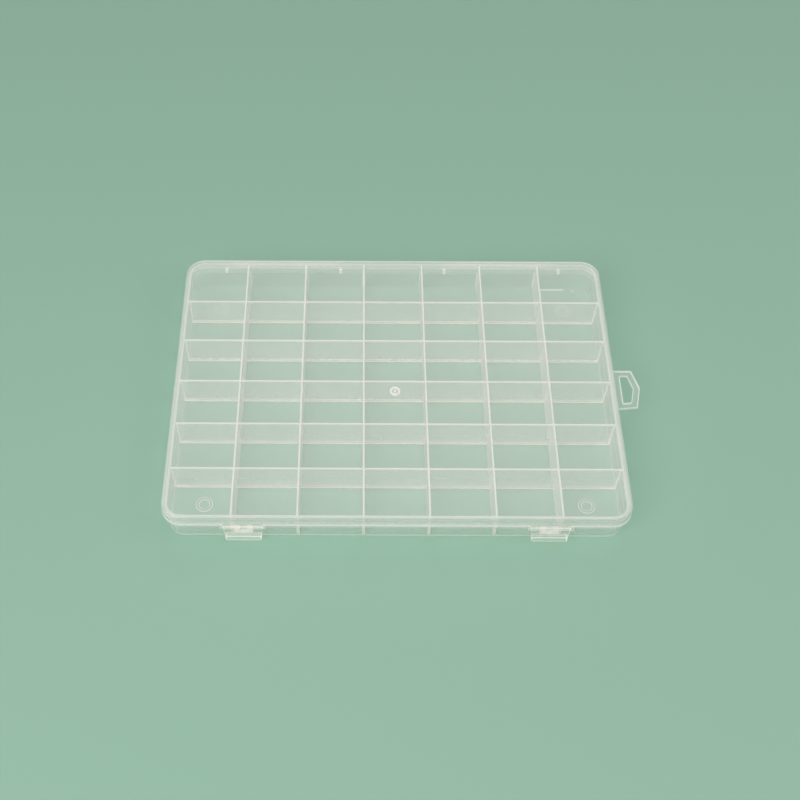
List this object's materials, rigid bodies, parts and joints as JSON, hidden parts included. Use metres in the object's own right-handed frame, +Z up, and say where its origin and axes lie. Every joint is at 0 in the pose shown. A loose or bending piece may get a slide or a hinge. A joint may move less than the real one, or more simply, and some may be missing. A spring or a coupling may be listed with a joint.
{
  "type": "compartment storage box",
  "caption": "Flat clear-frosted plastic box with a fixed compartment grid, one back-hinged lid, front snap latches and a side hang tab.",
  "frame": {"origin": "centre of the tray's flat underside, between the left and right walls and between the front and back walls", "axes": "+X to the right, where the hang tab is, +Y to the back, where the lid's hinge is, +Z up"},
  "size_m": [0.2953, 0.2105, 0.0249],
  "materials": {
    "tray_plastic": "clear-frosted polypropylene, moulded",
    "grid_plastic": "clear-frosted polypropylene, moulded",
    "lid_plastic": "clear-frosted polypropylene, moulded, smooth top",
    "latch_plastic": "clear-frosted polypropylene, moulded"
  },
  "bodies": {
    "tray": {"tray_shell": "tray_plastic", "row_wall_1": "grid_plastic", "row_wall_2": "grid_plastic", "row_wall_3": "grid_plastic", "row_wall_4": "grid_plastic", "row_wall_5": "grid_plastic", "column_wall_1": "grid_plastic", "column_wall_2": "grid_plastic", "column_wall_3": "grid_plastic", "column_wall_4": "grid_plastic", "column_wall_5": "grid_plastic", "column_wall_6": "grid_plastic", "hang_tab": "tray_plastic", "catch_left": "tray_plastic", "catch_right": "tray_plastic", "hinge_bar_left": "tray_plastic", "hinge_bar_right": "tray_plastic"},
    "lid": {"lid_shell": "lid_plastic", "hinge_clips_left": "lid_plastic", "hinge_clips_right": "lid_plastic", "latch_rod_left": "lid_plastic", "latch_rod_right": "lid_plastic"},
    "latch_left": {"latch_left": "latch_plastic"},
    "latch_right": {"latch_right": "latch_plastic"}
  },
  "joints": [
    {"name": "lid_hinge", "type": "hinge", "parent": "tray", "child": "lid", "pos_m": [0, 0.10371, 0.01585], "axis": [-1, 0, 0], "range_deg": [0, 180]},
    {"name": "latch_left_hinge", "type": "hinge", "parent": "lid", "child": "latch_left", "pos_m": [-0.0906, -0.10079, 0.01494], "axis": [-1, 0, 0], "range_deg": [0, 110]},
    {"name": "latch_right_hinge", "type": "hinge", "parent": "lid", "child": "latch_right", "pos_m": [0.0906, -0.10079, 0.01494], "axis": [-1, 0, 0], "range_deg": [0, 110]}
  ]
}
